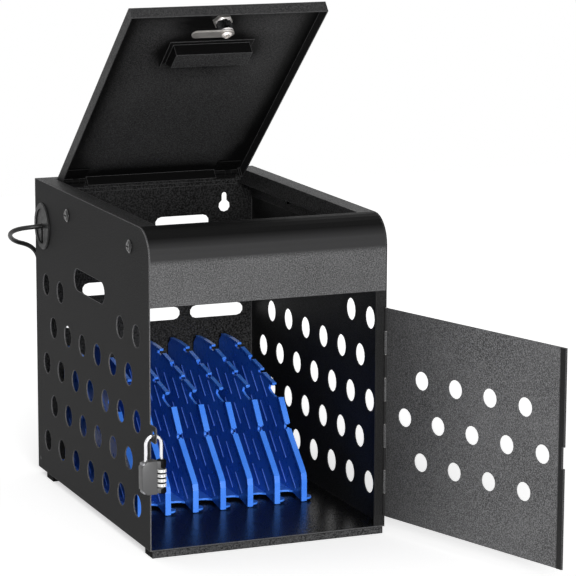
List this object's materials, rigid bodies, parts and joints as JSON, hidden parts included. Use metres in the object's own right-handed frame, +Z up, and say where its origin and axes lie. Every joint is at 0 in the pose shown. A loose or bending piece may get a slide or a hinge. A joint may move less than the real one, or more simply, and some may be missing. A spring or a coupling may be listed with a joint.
{
  "type": "laptop charging cabinet",
  "caption": "Perforated steel laptop charging cabinet with a hinged lid and door, divider rack, power strip, cord grommet and combination padlock.",
  "frame": {"origin": "middle of the underside of the front foot rail", "axes": "+X to the right seen from the front, +Y to the rear, +Z up"},
  "size_m": [0.4377, 0.8474, 0.6315],
  "materials": {
    "painted_steel": "fine textured charcoal powder coat",
    "black_screw": "satin black",
    "black_plastic": "moulded, satin",
    "bright_metal": "plated, bright",
    "padlock_grey": "fine cast, grey",
    "brass": "plain",
    "white_plastic": "moulded",
    "blue_plastic": "moulded, glossy",
    "cord_jacket": "satin black jacket",
    "tie_fabric": "hook and loop strap"
  },
  "bodies": {
    "cabinet": {"left_side_panel": "painted_steel", "right_side_panel": "painted_steel", "rear_panel": "painted_steel", "base_panel": "painted_steel", "front_foot_rail": "painted_steel", "rear_foot_rail": "painted_steel", "front_header": "painted_steel", "left_top_rail": "painted_steel", "right_top_rail": "painted_steel", "rear_top_rail": "painted_steel", "shelf_panel": "painted_steel", "door_hinge_leaf": "painted_steel", "screw_left_front": "black_screw", "screw_left_rear": "black_screw", "screw_right_front": "black_screw", "screw_right_rear": "black_screw", "grommet_ring": "black_plastic", "grommet_cap": "black_plastic", "strip_housing": "black_plastic", "lid_hinge_fixed_leaf_left": "bright_metal", "lid_hinge_fixed_leaf_right": "bright_metal", "lid_hinge_pin_left": "bright_metal", "lid_hinge_pin_right": "bright_metal", "door_hinge_pin": "bright_metal", "power_plug_blades": "brass", "rack_base": "blue_plastic", "rack_divider_1": "blue_plastic", "rack_divider_2": "blue_plastic", "rack_divider_3": "blue_plastic", "rack_divider_4": "blue_plastic", "rack_divider_5": "blue_plastic", "rack_divider_6": "blue_plastic", "rack_divider_7": "blue_plastic", "strip_relief": "cord_jacket", "power_cord_lead": "cord_jacket", "power_cord_coil": "cord_jacket", "power_plug_body": "cord_jacket", "power_cord_tie": "tie_fabric"},
    "lid": {"lid_panel": "painted_steel", "lid_pull_cup": "painted_steel", "lid_hinge_lid_leaf_left": "bright_metal", "lid_hinge_lid_leaf_right": "bright_metal", "lock_barrel": "bright_metal", "lock_nut": "bright_metal"},
    "lid_lock": {"lock_plug": "bright_metal", "lock_cam": "bright_metal", "lock_cam_screw": "bright_metal"},
    "door": {"door_panel": "painted_steel"},
    "padlock_shackle": {"padlock_shackle": "bright_metal"},
    "padlock_body": {"padlock_body": "padlock_grey", "padlock_spindle": "brass"},
    "dial_1": {"padlock_dial_1": "white_plastic"},
    "dial_2": {"padlock_dial_2": "white_plastic"},
    "dial_3": {"padlock_dial_3": "white_plastic"},
    "dial_4": {"padlock_dial_4": "white_plastic"},
    "strip_rocker": {"strip_rocker": "black_plastic"}
  },
  "joints": [
    {"name": "lid_hinge", "type": "hinge", "parent": "cabinet", "child": "lid", "pos_m": [0, 0.4002, 0.3844], "axis": [-1, 0, 0], "range_deg": [-40.83, 39]},
    {"name": "lock_turn", "type": "hinge", "parent": "lid", "child": "lid_lock", "pos_m": [0, 0.139, 0.6101], "axis": [0, 0.6538, 0.7567], "range_deg": [0, 90]},
    {"name": "door_hinge", "type": "hinge", "parent": "cabinet", "child": "door", "pos_m": [0.1482, -0.0156, 0], "axis": [0, 0, 1], "range_deg": [-108.13, 70]},
    {"name": "shackle_swing", "type": "hinge", "parent": "cabinet", "child": "padlock_shackle", "pos_m": [-0.1494, -0.024, 0.15035], "axis": [1, 0, 0], "range_deg": [-150, 0]},
    {"name": "shackle_release", "type": "slide", "parent": "padlock_shackle", "child": "padlock_body", "axis": [0, 0, -1], "range_m": [0, 0.01]},
    {"name": "dial_1_turn", "type": "hinge", "parent": "padlock_body", "child": "dial_1", "pos_m": [-0.1399, -0.024, 0.0916], "axis": [0, 0, 1], "continuous": true},
    {"name": "dial_2_turn", "type": "hinge", "parent": "padlock_body", "child": "dial_2", "pos_m": [-0.1399, -0.024, 0.0973], "axis": [0, 0, 1], "continuous": true},
    {"name": "dial_3_turn", "type": "hinge", "parent": "padlock_body", "child": "dial_3", "pos_m": [-0.1399, -0.024, 0.103], "axis": [0, 0, 1], "continuous": true},
    {"name": "dial_4_turn", "type": "hinge", "parent": "padlock_body", "child": "dial_4", "pos_m": [-0.1399, -0.024, 0.1087], "axis": [0, 0, 1], "continuous": true},
    {"name": "rocker_tilt", "type": "hinge", "parent": "cabinet", "child": "strip_rocker", "pos_m": [0.1075, 0.163, 0.3403], "axis": [0, 1, 0], "range_deg": [-14, 0]}
  ]
}
